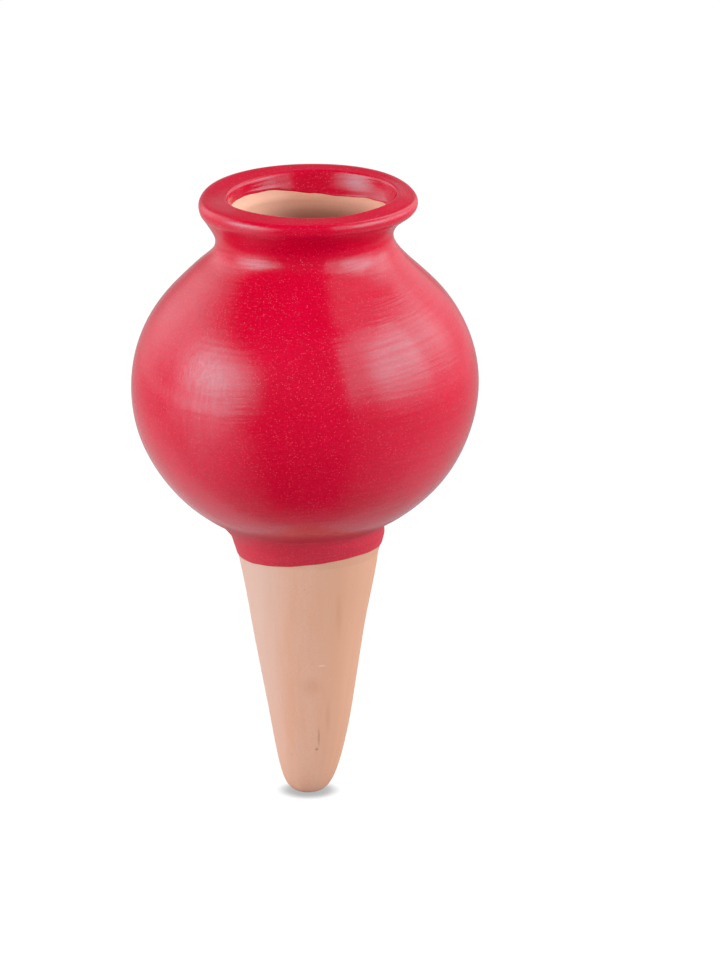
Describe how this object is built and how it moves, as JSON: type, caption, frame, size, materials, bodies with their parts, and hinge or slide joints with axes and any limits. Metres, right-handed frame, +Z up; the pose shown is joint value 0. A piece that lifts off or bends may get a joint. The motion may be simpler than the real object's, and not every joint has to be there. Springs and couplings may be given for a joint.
{
  "type": "self watering spike",
  "caption": "Round painted clay reservoir with an open rolled mouth on a hollow porous clay cone, pushed into soil to water a potted plant slowly.",
  "frame": {"origin": "on the axis at the soil line, where the paint ends and the bare spike begins", "axes": "+Z up along the axis, from the spike's tip to the mouth; X and Y across, with no preferred side"},
  "size_m": [0.1, 0.1, 0.1801],
  "materials": {
    "terracotta": "matte, unglazed, low-fired",
    "red_paint": "satin acrylic paint film, brushed on the turning wheel"
  },
  "bodies": {
    "root": {"bulb": "terracotta", "luting_slip": "terracotta", "spike": "terracotta", "colour_coat": "red_paint"}
  },
  "joints": []
}
